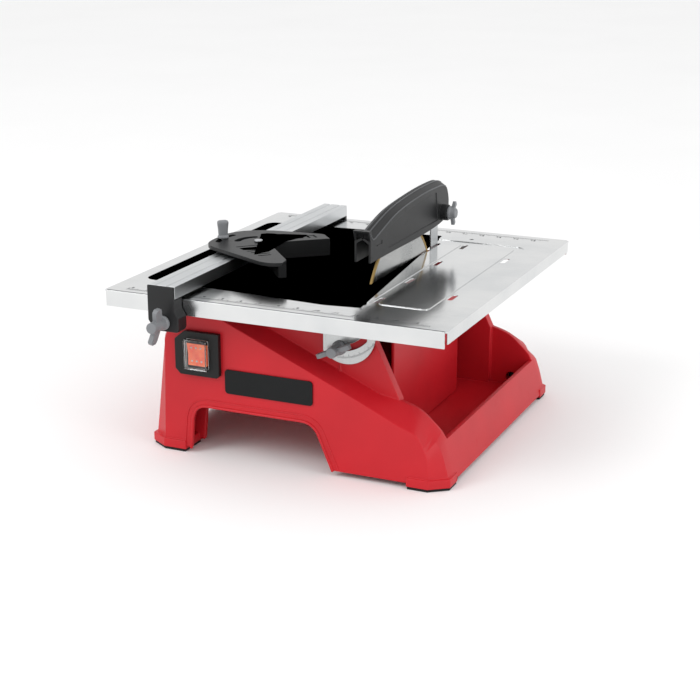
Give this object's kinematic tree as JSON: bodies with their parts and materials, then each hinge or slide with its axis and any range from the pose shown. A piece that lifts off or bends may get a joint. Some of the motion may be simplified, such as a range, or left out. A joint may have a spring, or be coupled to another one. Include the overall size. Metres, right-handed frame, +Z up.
{
  "type": "tile cutter",
  "caption": "Bench-top wet tile cutter: tilting slotted steel table on a low plastic base, diamond blade under a guard, rip fence with a V-shaped mitre gauge.",
  "frame": {"origin": "centre of the bounding box in X and Y, on the plane the rubber feet stand on", "axes": "+X to the right along the front edge, +Y from front to back along the blade and the fence, +Z up"},
  "size_m": [0.395, 0.4754, 0.2675],
  "materials": {
    "red_plastic": "satin",
    "black_plastic": "matte",
    "grey_plastic": "matte",
    "black_rubber": "matte",
    "stainless_sheet": "brushed",
    "zinc_steel": "satin",
    "dark_steel": "satin",
    "motor_iron": "matte",
    "fence_aluminium": "satin",
    "diamond_rim": "matte",
    "rocker_plastic": "gloss",
    "clear_boot": "gloss",
    "white_plastic": "matte"
  },
  "bodies": {
    "base": {"base_housing": "red_plastic", "foot_front_left": "black_rubber", "foot_rear_left": "black_rubber", "foot_front_right": "black_rubber", "foot_rear_right": "black_rubber", "table_rest_front": "black_rubber", "table_rest_rear": "black_rubber", "splash_shield": "red_plastic", "cord_gland": "black_plastic", "switch_frame": "black_plastic", "switch_boot": "clear_boot", "name_plate": "black_plastic", "motor_can": "dark_steel", "motor_stator": "motor_iron", "bearing_rear": "zinc_steel", "bearing_front": "zinc_steel", "motor_bracket": "zinc_steel", "run_capacitor": "white_plastic", "capacitor_clip": "zinc_steel", "splitter": "dark_steel", "splitter_bracket": "zinc_steel", "splitter_screw_lower": "zinc_steel", "splitter_screw_upper": "zinc_steel", "guard_bolt": "zinc_steel", "hinge_screw_front": "zinc_steel", "hinge_screw_rear": "zinc_steel", "hinge_spacer_front": "zinc_steel", "hinge_spacer_rear": "zinc_steel", "bevel_bolt_front": "zinc_steel", "bevel_bolt_rear": "zinc_steel"},
    "drain_plug_body": {"drain_plug": "black_rubber"},
    "rocker": {"switch_rocker": "rocker_plastic"},
    "arbor": {"motor_rotor": "motor_iron", "arbor_shaft": "zinc_steel", "inner_flange": "dark_steel", "outer_flange": "dark_steel", "arbor_nut": "zinc_steel", "blade": "dark_steel", "blade_rim": "diamond_rim"},
    "guard": {"guard_left": "black_plastic", "guard_right": "black_plastic", "guard_spacer_left": "zinc_steel", "guard_spacer_right": "zinc_steel"},
    "guard_knob_body": {"guard_knob": "grey_plastic"},
    "table": {"table_top": "stainless_sheet", "bevel_bracket_front": "zinc_steel", "bevel_bracket_rear": "zinc_steel"},
    "bevel_knob_front_body": {"bevel_knob_front": "grey_plastic"},
    "bevel_knob_rear_body": {"bevel_knob_rear": "grey_plastic"},
    "fence": {"fence_rail": "fence_aluminium", "fence_clamp": "black_plastic", "fence_hook": "black_plastic", "fence_jaw": "zinc_steel", "fence_bolt": "zinc_steel"},
    "fence_knob_body": {"fence_knob": "grey_plastic"},
    "gauge_saddle_body": {"gauge_saddle": "black_plastic", "gauge_bolt": "zinc_steel", "gauge_pivot_screw": "zinc_steel"},
    "gauge_head_body": {"gauge_head": "black_plastic"},
    "gauge_knob_body": {"gauge_knob": "grey_plastic"}
  },
  "joints": [
    {"name": "table_tilt", "type": "hinge", "parent": "base", "child": "table", "pos_m": [0.057, 0.01915, 0.1774], "axis": [0, 1, 0], "range_deg": [0, 45]},
    {"name": "blade_spin", "type": "hinge", "parent": "base", "child": "arbor", "pos_m": [0.057, 0.02915, 0.134], "axis": [1, 0, 0], "continuous": true},
    {"name": "guard_lift", "type": "hinge", "parent": "base", "child": "guard", "pos_m": [0.057, 0.13715, 0.229], "axis": [-1, 0, 0], "range_deg": [0, 50]},
    {"name": "guard_knob_turn", "type": "hinge", "parent": "base", "child": "guard_knob_body", "pos_m": [0.078, 0.13715, 0.229], "axis": [1, 0, 0], "continuous": true},
    {"name": "bevel_knob_front_turn", "type": "hinge", "parent": "base", "child": "bevel_knob_front_body", "pos_m": [0.057, -0.15085, 0.1374], "axis": [0, -1, 0], "continuous": true},
    {"name": "bevel_knob_rear_turn", "type": "hinge", "parent": "base", "child": "bevel_knob_rear_body", "pos_m": [0.057, 0.18915, 0.1374], "axis": [0, 1, 0], "continuous": true},
    {"name": "switch_rock", "type": "hinge", "parent": "base", "child": "rocker", "pos_m": [-0.099, -0.16385, 0.118], "axis": [-1, 0, 0], "range_deg": [0, 14]},
    {"name": "drain_plug_pull", "type": "slide", "parent": "base", "child": "drain_plug_body", "axis": [0, 1, 0], "range_m": [0, 0.03]},
    {"name": "fence_slide", "type": "slide", "parent": "table", "child": "fence", "axis": [1, 0, 0], "range_m": [-0.048, 0.012]},
    {"name": "fence_knob_turn", "type": "hinge", "parent": "fence", "child": "fence_knob_body", "pos_m": [-0.113, -0.22585, 0.1643], "axis": [0, -1, 0], "continuous": true},
    {"name": "gauge_slide", "type": "slide", "parent": "fence", "child": "gauge_saddle_body", "axis": [0, 1, 0], "range_m": [-0.14, 0.2]},
    {"name": "gauge_swivel", "type": "hinge", "parent": "gauge_saddle_body", "child": "gauge_head_body", "pos_m": [-0.099, -0.01885, 0.208], "axis": [0, 0, 1], "range_deg": [-22.5, 22.5]},
    {"name": "gauge_knob_turn", "type": "hinge", "parent": "gauge_saddle_body", "child": "gauge_knob_body", "pos_m": [-0.145, -0.01885, 0.22], "axis": [0, 0, 1], "continuous": true}
  ]
}
